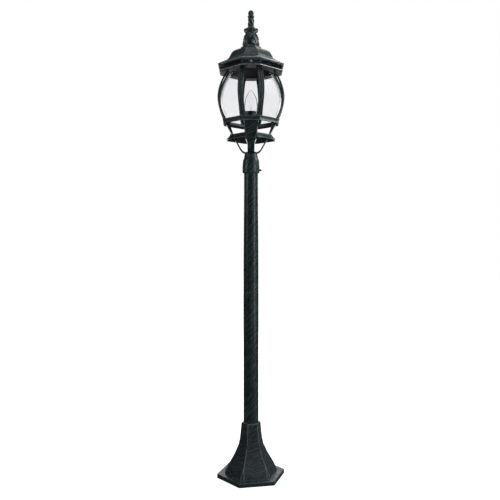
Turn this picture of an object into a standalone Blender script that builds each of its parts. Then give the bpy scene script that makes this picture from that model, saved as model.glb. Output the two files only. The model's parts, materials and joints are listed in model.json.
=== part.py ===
"""Garden post lamp: a hexagonal cast base, a two-piece pole and an eight-sided lantern head.

Metres, +Z up. The origin is the centre of the base's underside. The lantern is a chamfered
square in plan: four narrow faces look along +-X and +-Y, and four wide faces look along the
diagonals. The whole head turns about Z on the pole, the roof lifts off along +Z, the bulb
screws out of its holder about Z, and a clamp screw on the +X side of the collar holds the head.
"""
from math import asin, cos, pi, radians, sin, sqrt

import bmesh
import bpy
from mathutils import Vector

# ---- driving dimensions -------------------------------------------------------------------
GAP = 0.0003                 # left between pieces that touch
TOTAL_HEIGHT = 1.2000

# Base casting
FOOT_RADIUS = 0.0886         # hexagon circumradius
FOOT_HEIGHT = 0.0103
FOOT_TURN = radians(11.1)    # direction of one corner, from +X
FOOT_WALL = 0.0040
FLARE = [(0.0103, 0.0705), (0.0300, 0.0605), (0.0540, 0.0453), (0.0750, 0.0356),
         (0.0960, 0.0289), (0.1330, 0.0250)]     # height, circumradius
FLARE_WALL = 0.0041
CORNER_FACET = 0.0095        # width of the facet that ends each corner ridge, at the foot
FACET_TOP = 0.0360           # height where that facet runs out to the ridge
RIDGE = 0.0010
NECK_TOP = 0.1380
SOCKET_FLOOR = 0.0840        # the neck's bore ends here, above the lock ring
ANCHOR_HOLE_RADIUS = 0.00375
ANCHOR_CIRCLE_RADIUS = 0.0660

# Pole
POLE_FOOT = 0.0720
POLE_SEAM = 0.4730
POLE_TOP = 0.8080
LOWER_TUBE_RADIUS = 0.0193
UPPER_TUBE_RADIUS = 0.01915
TUBE_TOP_RADIUS = 0.0182     # the upper tube is swaged down to the collar
SWAGE = (0.5600, 0.7300)     # from here to here it narrows
TUBE_WALL = 0.0015
COUPLING_RADIUS = 0.0173
COUPLING_HALF_LENGTH = 0.0430

# Post cap, stem and straps
COLLAR_FOOT = 0.7810
COLLAR_RADIUS = 0.0221
CAP_TOP = 0.8295
CAP_TOP_RADIUS = 0.0158
STEM_RADIUS = 0.0048
STEM_BORE = 0.0036
CLAMP_HEIGHT = 0.7880
CLAMP_RADIUS = 0.0024
STRAP_THICKNESS = 0.0030

# Lamp tray and lower ring
TRAY_TOP = 0.8785
TRAY_HALF = 0.0623
TRAY_NARROW = 0.265          # half-width of a narrow face over the half-width across faces
RING_BOTTOM = 0.9055
RING_TOP = 0.9170
RING_NARROW = 0.31

# Cage: ribs and panes follow one arc in side view
CAGE_MIDDLE = 0.9760
CAGE_HALF = 0.0858
CAGE_ARC = 0.1170
CAGE_TAPER = 0.075           # extra lean of the cage above its middle
RIB_THICKNESS = 0.0048
RIB_TURN = 11.0              # degrees that a rib's face turns from the narrow face to the wide one
PANE_INSET = 0.0097          # from the cage's arc in to the pane's outer face
PANE_THICKNESS = 0.0020
PANE_FOOT = 0.9118
PANE_TOP = 1.0430

# Gallery and roof
GALLERY_BOTTOM = 1.0375
GALLERY_TOP = 1.0547
ROOF_SEAT = 1.0550
ROOF_HALF = 0.0832
ROOF_NARROW = 0.29
SPIGOT_HALF = 0.0645
SPIGOT_FOOT = 1.0420
DOME_TOP = 1.0985
SCREW_HEIGHT = 1.0480

# Finial
FINIAL_TURN = radians(24)    # it is held by one nut, so it need not line up with the roof
VOLUTE_RADIUS = 0.0072
VOLUTE_HEIGHT = 1.1136
VOLUTE_REACH = 0.0206

# Lampholder and bulb
HOLDER_TOP = 0.9380
HOLDER_RADIUS = 0.0190
BULB_TOP = 0.9950
BULB_RADIUS = 0.0175
BULB_CAP_RADIUS = 0.0131
BULB_CAP_BOTTOM = 0.8970

ROUND_STEPS = 24
SMALL_STEPS = 12

# ---- looks: base colour, metallic, roughness, opacity ----------------------------------------
LOOKS = {
    "green_black_paint": ((0.020, 0.030, 0.028), 0.55, 0.45, 1.0),
    "bright_steel": ((0.55, 0.56, 0.56), 1.0, 0.30, 1.0),
    "nickel": ((0.62, 0.60, 0.56), 1.0, 0.28, 1.0),
    "brass": ((0.72, 0.53, 0.25), 1.0, 0.30, 1.0),
    "black_plastic": ((0.025, 0.025, 0.028), 0.0, 0.40, 1.0),
    "white_plastic": ((0.80, 0.79, 0.75), 0.0, 0.45, 1.0),
    "cable_sheath": ((0.05, 0.05, 0.05), 0.0, 0.60, 1.0),
    "clear_glass": ((0.92, 0.95, 0.95), 0.0, 0.05, 0.25),
}


# ---- scene helpers -----------------------------------------------------------------------------
def clear_scene():
    for obj in list(bpy.data.objects):
        bpy.data.objects.remove(obj, do_unlink=True)


def new_collection(name):
    collection = bpy.data.collections.new(name)
    bpy.context.scene.collection.children.link(collection)
    return collection


def new_material(name, look):
    colour, metallic, roughness, alpha = LOOKS[look]
    material = bpy.data.materials.new(name)
    material.use_nodes = True
    shader = material.node_tree.nodes["Principled BSDF"]
    shader.inputs["Base Color"].default_value = (*colour, 1.0)
    shader.inputs["Metallic"].default_value = metallic
    shader.inputs["Roughness"].default_value = roughness
    shader.inputs["Alpha"].default_value = alpha
    return material


def new_empty(name, location, parent=None, rotation=(0, 0, 0)):
    empty = bpy.data.objects.new(name, None)
    empty.empty_display_size = 0.03
    empty.location = location
    empty.rotation_euler = rotation
    empty.parent = parent
    PARTS.objects.link(empty)
    return empty


def add_part(name, mesh, look, parent, turn=0.0, smooth=False):
    """Put a mesh in the model as one sub-part, turned about its parent's Z."""
    obj = bpy.data.objects.new(name, mesh)
    obj.rotation_euler = (0, 0, turn)
    obj.parent = parent
    PARTS.objects.link(obj)
    mesh.materials.clear()
    mesh.materials.append(new_material(name + "_finish", look))
    if smooth:
        mesh.shade_smooth()
        mesh.set_sharp_from_angle(angle=radians(35))
    return obj


def copy_part(name, source, turn):
    """A further copy of a repeated piece, which shares the first one's mesh."""
    obj = bpy.data.objects.new(name, source.data)
    obj.rotation_euler = (0, 0, turn)
    obj.parent = source.parent
    PARTS.objects.link(obj)
    return obj


def add_cutter(name, mesh, parent=None):
    obj = bpy.data.objects.new(name, mesh)
    obj.parent = parent
    obj.hide_render = True
    obj.display_type = "WIRE"
    CUTTERS.objects.link(obj)
    return obj


def boolean(target, other, operation="DIFFERENCE"):
    modifier = target.modifiers.new(other.name, "BOOLEAN")
    modifier.operation = operation
    modifier.solver = "EXACT"
    modifier.object = other


# ---- shape helpers -----------------------------------------------------------------------------
def smooth_points(points, steps):
    """A Catmull-Rom curve through the points, with this many steps in each span."""
    first = [2 * a - b for a, b in zip(points[0], points[1])]
    last = [2 * a - b for a, b in zip(points[-1], points[-2])]
    knots = [Vector(p) for p in (first, *points, last)]
    curve = []
    for before, start, end, after in zip(knots, knots[1:], knots[2:], knots[3:]):
        for step in range(steps):
            t = step / steps
            curve.append(0.5 * (2 * start + (end - before) * t
                                + (2 * before - 5 * start + 4 * end - after) * t ** 2
                                + (3 * start - before - 3 * end + after) * t ** 3))
    curve.append(knots[-2])
    return curve


def interpolate(table, x):
    """Read a value from a short table of (x, value), straight between its entries."""
    for (x0, y0), (x1, y1) in zip(table, table[1:]):
        if x <= x1:
            return y0 + (y1 - y0) * max(0.0, x - x0) / (x1 - x0)
    return table[-1][1]


def loft_mesh(name, rings, closed=False):
    """Join rings of equal counts, each anticlockwise seen from above, from bottom to top.

    An open loft gets a cap at each end. A closed one runs up its outer side and down its
    inner side, and back to the first ring.
    """
    mesh = bpy.data.meshes.new(name)
    shape = bmesh.new()
    loops = [[shape.verts.new(point) for point in ring] for ring in rings]
    pairs = list(zip(loops, loops[1:]))
    if closed:
        pairs.append((loops[-1], loops[0]))
    else:
        shape.faces.new(reversed(loops[0]))
        shape.faces.new(loops[-1])
    for low, high in pairs:
        for i in range(len(low)):
            j = (i + 1) % len(low)
            shape.faces.new((low[i], low[j], high[j], high[i]))
    shape.to_mesh(mesh)
    shape.free()
    return mesh


def circle(radius, height, count, turn=0.0):
    return [Vector((radius * cos(turn + 2 * pi * i / count),
                    radius * sin(turn + 2 * pi * i / count), height)) for i in range(count)]


def chamfered_square(half, narrow_ratio, height):
    """Eight corners of the lantern's plan, at this half-width across its narrow faces."""
    n = half * narrow_ratio
    corners = [(half, -n), (half, n), (n, half), (-n, half),
               (-half, n), (-half, -n), (-n, -half), (n, -half)]
    return [Vector((x, y, height)) for x, y in corners]


def faceted_hexagon(circumradius, facet, height):
    """A hexagon with a narrow facet on each corner: four points for each side, 24 in all."""
    ring = []
    cut = facet / 2 / cos(radians(30))
    for side in range(6):
        start = FOOT_TURN + radians(60) * side
        here = Vector((cos(start), sin(start), 0)) * circumradius
        onward = Vector((cos(start + radians(60)), sin(start + radians(60)), 0)) * circumradius
        along = (onward - here).normalized()
        first = here + along * cut
        last = onward - along * cut
        ring += [first.lerp(last, share) for share in (0, 1 / 3, 2 / 3, 1)]
    return [Vector((p.x, p.y, height)) for p in ring]


def round_as_hexagon(radius, height):
    """A circle whose 24 points lie opposite the points of a faceted hexagon."""
    return circle(radius, height, 24, FOOT_TURN + radians(7.5))


def profile_mesh(name, points, closed):
    """A turned piece's outline in the XZ plane, for a Screw modifier."""
    mesh = bpy.data.meshes.new(name)
    count = len(points)
    edges = [(i, i + 1) for i in range(count - 1)]
    if closed:
        edges.append((count - 1, 0))
    mesh.from_pydata([(x, 0, z) for x, z in points], edges, [])
    return mesh


def set_full_turn(modifier, steps):
    modifier.axis = "Z"
    modifier.angle = 2 * pi
    modifier.steps = steps
    modifier.render_steps = steps
    modifier.use_merge_vertices = True
    modifier.merge_threshold = 0.00001


def turned(name, points, look, parent, steps=ROUND_STEPS, closed=True):
    """A turned piece. Its outline runs down the outer side, and up the inner one if closed."""
    obj = add_part(name, profile_mesh(name, points, closed), look, parent)
    set_full_turn(obj.modifiers.new("turn", "SCREW"), steps)
    return obj


def tube_outline(outer, inner, bottom, top):
    return [(outer, top), (outer, bottom), (inner, bottom), (inner, top)]


def cylinder_mesh(name, radius, start, end, segments):
    """A closed cylinder between two points."""
    mesh = bpy.data.meshes.new(name)
    shape = bmesh.new()
    axis = Vector(end) - Vector(start)
    place = axis.to_track_quat("Z", "Y").to_matrix().to_4x4()
    place.translation = (Vector(start) + Vector(end)) / 2
    bmesh.ops.create_cone(shape, cap_ends=True, segments=segments, radius1=radius,
                          radius2=radius, depth=axis.length, matrix=place)
    shape.to_mesh(mesh)
    shape.free()
    return mesh


def box_mesh(name, low, high, bevel=0.0):
    mesh = bpy.data.meshes.new(name)
    shape = bmesh.new()
    bmesh.ops.create_cube(shape, size=1.0)
    size = Vector(high) - Vector(low)
    middle = (Vector(high) + Vector(low)) / 2
    bmesh.ops.scale(shape, vec=size, verts=shape.verts)
    bmesh.ops.translate(shape, vec=middle, verts=shape.verts)
    if bevel:
        bmesh.ops.bevel(shape, geom=shape.edges[:], offset=bevel, segments=1, affect="EDGES")
    shape.to_mesh(mesh)
    shape.free()
    return mesh


def four_ways(names, make):
    """Make a piece for the +X narrow face and turn three copies to the other faces."""
    first = make(names[0])
    for step, name in enumerate(names[1:], start=1):
        copy_part(name, first, radians(90) * step)


def hexagon_nut(name, across_flats, hole, bottom, top, parent):
    """A nut: twelve points outside and twelve around its hole."""
    corner = across_flats / 2 / cos(radians(30))

    def outside(height):
        ring = []
        for i in range(12):
            reach = corner if i % 2 == 0 else across_flats / 2
            ring.append(Vector((cos(radians(30 * i)), sin(radians(30 * i)), 0)) * reach)
        return [Vector((p.x, p.y, height)) for p in ring]

    rings = [outside(bottom), outside(top), circle(hole, top, 12), circle(hole, bottom, 12)]
    return add_part(name, loft_mesh(name, rings, closed=True), "bright_steel", parent)


# ---- base and pole ----------------------------------------------------------------------------
def corner_facet(height):
    """The corner's facet: a thin ridge that widens to a triangle at the foot."""
    if height >= FACET_TOP:
        return RIDGE
    share = (FACET_TOP - height) / (FACET_TOP - FOOT_HEIGHT)
    return RIDGE + (CORNER_FACET - RIDGE) * share


def make_base(parent):
    flare = smooth_points(FLARE, 2)
    rings = [faceted_hexagon(FOOT_RADIUS, 0.002, 0.0),
             faceted_hexagon(FOOT_RADIUS, 0.002, FOOT_HEIGHT - 0.001),
             faceted_hexagon(FOOT_RADIUS - 0.001, 0.002, FOOT_HEIGHT)]
    rings += [faceted_hexagon(radius, corner_facet(z), z) for z, radius in flare]
    rings += [faceted_hexagon(FLARE[-1][1] - 0.0004, RIDGE, NECK_TOP - 0.0015),
              faceted_hexagon(FLARE[-1][1] - 0.0020, RIDGE, NECK_TOP)]
    bore = LOWER_TUBE_RADIUS + 0.00045
    rings += [round_as_hexagon(bore, NECK_TOP), round_as_hexagon(bore, SOCKET_FLOOR)]
    inner = [(z, radius) for z, radius in reversed(flare) if 0.02 < z < SOCKET_FLOOR - 0.004]
    socket_radius = interpolate(FLARE, SOCKET_FLOOR) - FLARE_WALL
    rings.append(faceted_hexagon(socket_radius, RIDGE, SOCKET_FLOOR))
    rings += [faceted_hexagon(radius - FLARE_WALL, corner_facet(z), z) for z, radius in inner]
    ceiling = FOOT_HEIGHT - FOOT_WALL
    rings += [faceted_hexagon(FLARE[0][1] - FLARE_WALL, CORNER_FACET, ceiling),
              faceted_hexagon(FOOT_RADIUS - FOOT_WALL, 0.002, ceiling),
              faceted_hexagon(FOOT_RADIUS - FOOT_WALL, 0.002, 0.0)]
    base = add_part("base_casting", loft_mesh("base_casting", rings, closed=True),
                    "green_black_paint", parent)
    for index, side in enumerate((30, 210)):
        angle = FOOT_TURN + radians(side)
        x = ANCHOR_CIRCLE_RADIUS * cos(angle)
        y = ANCHOR_CIRCLE_RADIUS * sin(angle)
        name = f"anchor_hole_{index}"
        hole = cylinder_mesh(name, ANCHOR_HOLE_RADIUS, (x, y, -0.01), (x, y, 0.02), 16)
        boolean(base, add_cutter(name, hole))


def make_pole(parent):
    turned("lower_tube",
           tube_outline(LOWER_TUBE_RADIUS, LOWER_TUBE_RADIUS - TUBE_WALL, POLE_FOOT,
                        POLE_SEAM - GAP / 2),
           "green_black_paint", parent)
    inner_top = TUBE_TOP_RADIUS - TUBE_WALL
    inner = UPPER_TUBE_RADIUS - TUBE_WALL
    foot = POLE_SEAM + GAP / 2
    upper = [(TUBE_TOP_RADIUS, POLE_TOP), (TUBE_TOP_RADIUS, SWAGE[1]),
             (UPPER_TUBE_RADIUS, SWAGE[0]), (UPPER_TUBE_RADIUS, foot),
             (inner, foot), (inner, SWAGE[0]), (inner_top, SWAGE[1]), (inner_top, POLE_TOP)]
    turned("upper_tube", upper, "green_black_paint", parent)
    turned("tube_coupling",
           tube_outline(COUPLING_RADIUS, COUPLING_RADIUS - TUBE_WALL,
                        POLE_SEAM - COUPLING_HALF_LENGTH, POLE_SEAM + COUPLING_HALF_LENGTH),
           "bright_steel", parent)
    turned("pole_lock_ring",
           tube_outline(0.0229, LOWER_TUBE_RADIUS + GAP, 0.0755, SOCKET_FLOOR - GAP),
           "bright_steel", parent)


def make_wiring(parent):
    block = box_mesh("terminal_block", (-0.011, -0.0065, 0.100), (0.011, 0.0065, 0.128), 0.001)
    add_part("terminal_block", block, "white_plastic", parent)
    curve = bpy.data.curves.new("lamp_lead", "CURVE")
    curve.dimensions = "3D"
    curve.bevel_depth = 0.0023
    curve.bevel_resolution = 2
    curve.use_fill_caps = True
    spline = curve.splines.new("POLY")
    heights = (0.1283, 0.3700, 0.6200, 0.8860)
    spline.points.add(len(heights) - 1)
    for point, height in zip(spline.points, heights):
        point.co = (0, 0, height, 1)
    add_part("lamp_lead", curve_to_mesh(curve), "cable_sheath", parent)


def curve_to_mesh(curve):
    """The curve's tube as a mesh, with its caps welded on."""
    obj = bpy.data.objects.new(curve.name + "_curve", curve)
    bpy.context.scene.collection.objects.link(obj)
    depsgraph = bpy.context.evaluated_depsgraph_get()
    mesh = bpy.data.meshes.new_from_object(obj.evaluated_get(depsgraph))
    bpy.data.objects.remove(obj, do_unlink=True)
    shape = bmesh.new()
    shape.from_mesh(mesh)
    bmesh.ops.remove_doubles(shape, verts=shape.verts, dist=0.00001)
    shape.to_mesh(mesh)
    shape.free()
    return mesh


# ---- post cap, stem, straps and tray ---------------------------------------------------------
def make_post_cap(parent):
    bore = TUBE_TOP_RADIUS + 0.0004
    outline = [(STEM_RADIUS + 0.0004, CAP_TOP), (CAP_TOP_RADIUS, CAP_TOP), (0.0166, 0.8270),
               (0.0188, 0.8166), (0.0203, 0.8146), (0.0210, 0.8120), (COLLAR_RADIUS, 0.7960),
               (COLLAR_RADIUS, COLLAR_FOOT), (bore, COLLAR_FOOT), (bore, 0.8105),
               (0.0150, 0.8180), (STEM_RADIUS + 0.0004, 0.8180)]
    cap = turned("post_cap", outline, "green_black_paint", parent)
    boss = cylinder_mesh("clamp_boss", 0.0046, (0.0200, 0, CLAMP_HEIGHT),
                         (0.0236, 0, CLAMP_HEIGHT), 16)
    boolean(cap, add_cutter("clamp_boss", boss), "UNION")
    hole = cylinder_mesh("clamp_hole", CLAMP_RADIUS + 0.0003, (0.0100, 0, CLAMP_HEIGHT),
                         (0.0300, 0, CLAMP_HEIGHT), SMALL_STEPS)
    boolean(cap, add_cutter("clamp_hole", hole))


def make_stem(parent):
    turned("stem_nipple", tube_outline(STEM_RADIUS, STEM_BORE, 0.8110, 0.8855), "brass", parent,
           SMALL_STEPS)
    nut_hole = STEM_RADIUS + 0.0004
    hexagon_nut("cap_nut", 0.0140, nut_hole, 0.8125, 0.8177, parent)
    turned("strap_washer", tube_outline(0.0125, nut_hole, 0.8333, 0.8350), "bright_steel",
           parent, ROUND_STEPS)
    hexagon_nut("strap_nut", 0.0140, nut_hole, 0.8353, 0.8403, parent)
    hexagon_nut("tray_nut", 0.0140, nut_hole, 0.8707, 0.8757, parent)


# Half-width of a strap, and the depth of its side flanges, by height
STRAP_HALF_WIDTH = [(0.850, 0.0089), (0.862, 0.0093), (0.868, 0.0103), (0.876, 0.0132),
                    (0.885, 0.0150), (0.903, 0.0174), (0.909, 0.0176)]
STRAP_DEPTH = [(0.876, 0.0034), (0.885, 0.0058), (0.903, 0.0096), (0.909, 0.0105)]
STRAP_TOP = Vector((0.0646, RING_BOTTOM + 0.0027))
STRAP_BEND = Vector((0.0267, 0.8410))
STRAP_FOOT_HEIGHT = CAP_TOP + GAP + STRAP_THICKNESS / 2
STRAP_END = 0.0093


def strap_stations():
    """Centre line of the plate as (radius, height), with the direction of its inner side."""
    run = STRAP_TOP - STRAP_BEND
    lean = asin(run.x / run.length)
    heights = (0.903, 0.894, 0.885, 0.876, 0.872, 0.868, 0.864, 0.856)
    stations = [(STRAP_TOP, 0.0)]
    for height in heights:
        share = (height - STRAP_BEND.y) / run.y
        tilt = lean * interpolate([(STRAP_BEND.y, 1.0), (0.872, 0.0)], height)
        stations.append((STRAP_BEND + run * share, tilt))
    # the bend's arc, from the strap's lean round to a level foot
    drop = STRAP_BEND.y - STRAP_FOOT_HEIGHT
    arc = drop / (1 - sin(lean))
    centre = Vector((STRAP_BEND.x - arc * cos(lean), STRAP_FOOT_HEIGHT + arc))
    steps = 5
    for step in range(steps + 1):
        angle = (pi / 2 - lean) * (1 - step / steps)
        point = centre + Vector((sin(angle), -cos(angle))) * arc
        stations.append((point, pi / 2 - angle))
    stations.append((Vector((STRAP_END, STRAP_FOOT_HEIGHT)), pi / 2))
    return stations


def make_strap(name, parent):
    """A U-section strap, lofted from its level foot up to the ring."""
    rings = []
    for point, tilt in reversed(strap_stations()):
        half = interpolate(STRAP_HALF_WIDTH, point.y)
        depth = interpolate(STRAP_DEPTH, point.y)
        inward = Vector((-cos(tilt), 0, sin(tilt)))
        face = Vector((point.x, 0, point.y)) - inward * STRAP_THICKNESS / 2
        rib = half - 0.0025
        section = [(0, -half), (0, half), (depth, half), (depth, rib),
                   (STRAP_THICKNESS, rib), (STRAP_THICKNESS, -rib), (depth, -rib),
                   (depth, -half)]
        rings.append([face + inward * into + Vector((0, across, 0))
                      for into, across in section])
    return add_part(name, loft_mesh(name, rings), "green_black_paint", parent)


def make_tray(parent):
    outline = [(0.0604, 0.8650), (TRAY_HALF, 0.8650), (TRAY_HALF, 0.8664), (0.0600, 0.8680),
               (0.0578, 0.8704), (0.0550, 0.8738), (0.0536, 0.8750), (0.0542, 0.8764),
               (0.0538, 0.8778), (0.0526, TRAY_TOP), (STEM_RADIUS + 0.0004, TRAY_TOP),
               (STEM_RADIUS + 0.0004, TRAY_TOP - 0.0025), (0.0510, TRAY_TOP - 0.0025),
               (0.0526, 0.8738), (0.0558, 0.8696), (0.0582, 0.8674)]
    rings = [chamfered_square(half, TRAY_NARROW, z) for half, z in outline]
    tray = add_part("lamp_tray", loft_mesh("lamp_tray", rings, closed=True),
                    "green_black_paint", parent)
    for index in range(4):
        name = f"strap_notch_{index}"
        notch = []
        for half, z in ((0.0101, 0.8600), (0.0101, 0.8664), (0.0139, 0.8750), (0.0139, 0.8900)):
            notch.append([Vector((x, y, z)) for x, y in
                          ((0.0428, -half), (0.0800, -half), (0.0800, half), (0.0428, half))])
        cutter = add_cutter(name, loft_mesh(name, notch))
        cutter.rotation_euler = (0, 0, radians(90) * index)
        boolean(tray, cutter)


# ---- lower ring, ribs and panes -----------------------------------------------------------------
def make_ring(parent):
    outline = [(0.0676, RING_BOTTOM), (0.0700, RING_BOTTOM), (0.0710, 0.9067),
               (0.0704, 0.9080), (0.0704, 0.9138), (0.0722, 0.9148), (0.0725, 0.9160),
               (0.0718, RING_TOP), (0.0620, RING_TOP), (0.0620, 0.9115), (0.0535, 0.9115),
               (0.0535, 0.9085), (0.0665, 0.9085)]
    rings = [chamfered_square(half, RING_NARROW, z) for half, z in outline]
    ring = add_part("lower_ring", loft_mesh("lower_ring", rings, closed=True),
                    "green_black_paint", parent)
    for index in range(4):
        name = f"ring_panel_{index}"
        panel = box_mesh(name, (0.0643, -0.0262, 0.9090), (0.0800, 0.0262, 0.9132), 0.0018)
        cutter = add_cutter(name, panel)
        cutter.rotation_euler = (0, 0, radians(45) + radians(90) * index)
        boolean(ring, cutter)


def cage_half(height):
    """Half-width of the cage across its narrow faces: one arc in side view, leaning in above."""
    rise = height - CAGE_MIDDLE
    arc = CAGE_HALF - CAGE_ARC + sqrt(CAGE_ARC ** 2 - rise ** 2)
    return arc - CAGE_TAPER * max(0.0, rise)


def cage_lean(height):
    """How far the arc leans from upright: one over the cosine of its slope."""
    return 1 / cos(asin((height - CAGE_MIDDLE) / CAGE_ARC))


def cage_narrow(height):
    """The ribs spread a little from the ring up to the gallery."""
    return interpolate([(RING_TOP, 0.29), (GALLERY_BOTTOM, 0.335)], height)


def make_rib(name, side, parent):
    """The rib on one corner beside the +X face: a bar with two flutes and level ends."""
    outward = Vector((cos(radians(RIB_TURN)), side * sin(radians(RIB_TURN)), 0))
    across = Vector((-sin(radians(RIB_TURN)), side * cos(radians(RIB_TURN)), 0))
    bottom = RING_TOP + GAP
    top = GALLERY_BOTTOM - GAP
    count = 11
    rings = []
    for step in range(count):
        height = bottom + (top - bottom) * step / (count - 1)
        half = cage_half(height)
        corner = Vector((half, side * half * cage_narrow(height), height))
        depth = RIB_THICKNESS * cage_lean(height)
        flutes = [(-0.0070, 0.0012), (-0.0061, 0.0001), (-0.0043, 0.0001), (-0.0029, 0.0016),
                  (-0.0015, 0), (0.0015, 0), (0.0029, 0.0016), (0.0043, 0.0001),
                  (0.0061, 0.0001), (0.0070, 0.0012)]
        section = flutes + [(0.0070, depth - 0.0018), (0.0045, depth), (-0.0045, depth),
                            (-0.0070, depth - 0.0018)]
        if side > 0:
            section.reverse()
        rings.append([corner - outward * (into + 0.0012) + across * along
                      for along, into in reversed(section)])
    return add_part(name, loft_mesh(name, rings), "green_black_paint", parent)


def pane_corner(height, inset):
    half = cage_half(height) - inset * cage_lean(height)
    return half, half * cage_narrow(height)


def pane_heights():
    count = 9
    return [PANE_FOOT + (PANE_TOP - PANE_FOOT) * step / (count - 1) for step in range(count)]


def make_narrow_pane(name, parent):
    clear = 0.0014               # keeps the edge clear of the wide panes' mitred edges
    rings = []
    for height in pane_heights():
        out, width = pane_corner(height, PANE_INSET)
        back = out - PANE_THICKNESS * cage_lean(height)
        edge = width - clear
        rings.append([Vector((x, y, height)) for x, y in
                      ((back, -edge), (out, -edge), (out, edge), (back, edge))])
    return add_part(name, loft_mesh(name, rings), "clear_glass", parent, smooth=True)


def make_wide_pane(name, parent):
    """The pane between the +X and +Y faces."""
    inward = Vector((-1, -1, 0)).normalized()
    along = Vector((-1, 1, 0)).normalized()
    rings = []
    for height in pane_heights():
        out, width = pane_corner(height, PANE_INSET)
        start = Vector((out, width, height)) + along * 0.0004
        end = Vector((width, out, height)) - along * 0.0004
        back = inward * PANE_THICKNESS * cage_lean(height)
        rings.append([start + back, start, end, end + back])
    return add_part(name, loft_mesh(name, rings), "clear_glass", parent, smooth=True)


# ---- gallery and roof ------------------------------------------------------------------------------
def make_gallery(parent):
    outline = [(0.0780, GALLERY_BOTTOM), (0.0796, 1.0378), (0.0798, 1.0402), (0.0790, 1.0412),
               (0.0822, GALLERY_TOP), (0.0792, GALLERY_TOP), (0.0763, 1.0405),
               (0.0545, 1.0400), (0.0545, GALLERY_BOTTOM)]
    rings = [chamfered_square(half, ROOF_NARROW, z) for half, z in outline]
    gallery = add_part("gallery_frame", loft_mesh("gallery_frame", rings, closed=True),
                       "green_black_paint", parent)
    cuts = []
    for index in range(4):
        turn = radians(90) * index
        window = box_mesh(f"window_{index}", (0.0650, -0.0385, 1.0415), (0.0900, 0.0385, 1.0600))
        recess = box_mesh(f"recess_{index}", (0.0790, -0.0210, 1.0450), (0.0900, 0.0210, 1.0512))
        hole = cylinder_mesh(f"screw_hole_{index}", 0.0023, (0.0700, 0, SCREW_HEIGHT),
                             (0.0900, 0, SCREW_HEIGHT), 8)
        cuts += [(window, turn + radians(45)), (recess, turn), (hole, turn)]
    for mesh, turn in cuts:
        cutter = add_cutter(mesh.name, mesh)
        cutter.rotation_euler = (0, 0, turn)
        boolean(gallery, cutter)


def make_roof_screw(name, parent):
    """A pan-head screw through the +X face, with its tip just short of the roof's spigot."""
    seat = 0.0793
    outline = [(0.0020, SPIGOT_HALF + GAP), (0.0020, seat), (0.0030, seat),
               (0.0030, seat + 0.0014), (0.0018, seat + 0.0022)]
    rings = []
    for radius, reach in outline:
        rings.append([Vector((reach, p.x, p.y + SCREW_HEIGHT)) for p in circle(radius, 0, 8)])
    return add_part(name, loft_mesh(name, rings), "bright_steel", parent)


def roof_narrow(height):
    """The dome's narrow faces taper a little more than its wide ones."""
    return interpolate([(ROOF_SEAT, ROOF_NARROW), (1.0700, 0.31), (DOME_TOP, 0.25)], height)


def make_roof(parent):
    dome = smooth_points([(0.0574, 1.0712), (0.0522, 1.0820), (0.0470, 1.0905),
                          (0.0375, 1.0965), (0.0280, DOME_TOP)], 2)
    brim = smooth_points([(0.0818, 1.0580), (0.0750, 1.0615), (0.0686, 1.0646),
                          (0.0615, 1.0679)], 1)
    bore = 0.0034
    outline = [(SPIGOT_HALF - 0.0020, SPIGOT_FOOT), (SPIGOT_HALF, SPIGOT_FOOT),
               (SPIGOT_HALF, 1.0627), (0.0735, 1.0592), (0.0795, 1.0566), (0.0804, ROOF_SEAT),
               (0.0827, ROOF_SEAT), (ROOF_HALF, 1.0556), (ROOF_HALF, 1.0572)]
    outline += [tuple(point) for point in brim] + [tuple(point) for point in dome]
    outline += [(bore, DOME_TOP), (bore, DOME_TOP - 0.0030), (0.0300, 1.0945), (0.0420, 1.0892),
                (0.0485, 1.0815), (0.0536, 1.0715), (0.0590, 1.0668), (0.0625, 1.0640)]
    rings = [chamfered_square(half, roof_narrow(z), z) for half, z in outline]
    add_part("roof", loft_mesh("roof", rings, closed=True), "green_black_paint", parent)


def make_crown_plate(parent):
    bottom = DOME_TOP + GAP
    outline = [(0.0245, bottom), (0.0262, bottom + 0.0012), (0.0262, bottom + 0.0034),
               (0.0232, bottom + 0.0046), (0.0218, bottom + 0.0068), (0.0034, bottom + 0.0068),
               (0.0034, bottom)]
    rings = [chamfered_square(half, 0.40, z) for half, z in outline]
    add_part("crown_plate", loft_mesh("crown_plate", rings, closed=True), "green_black_paint",
             parent)
    return bottom + 0.0068


def leafy_ring(radius, lobe, count, height):
    """A ring whose radius swells in four directions, at FINIAL_TURN and every quarter turn."""
    ring = []
    for i in range(count):
        angle = 2 * pi * i / count
        swell = (1 + cos(4 * (angle - FINIAL_TURN))) / 2
        reach = radius + lobe * swell ** 2
        ring.append(Vector((reach * cos(angle), reach * sin(angle), height)))
    return ring


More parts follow.
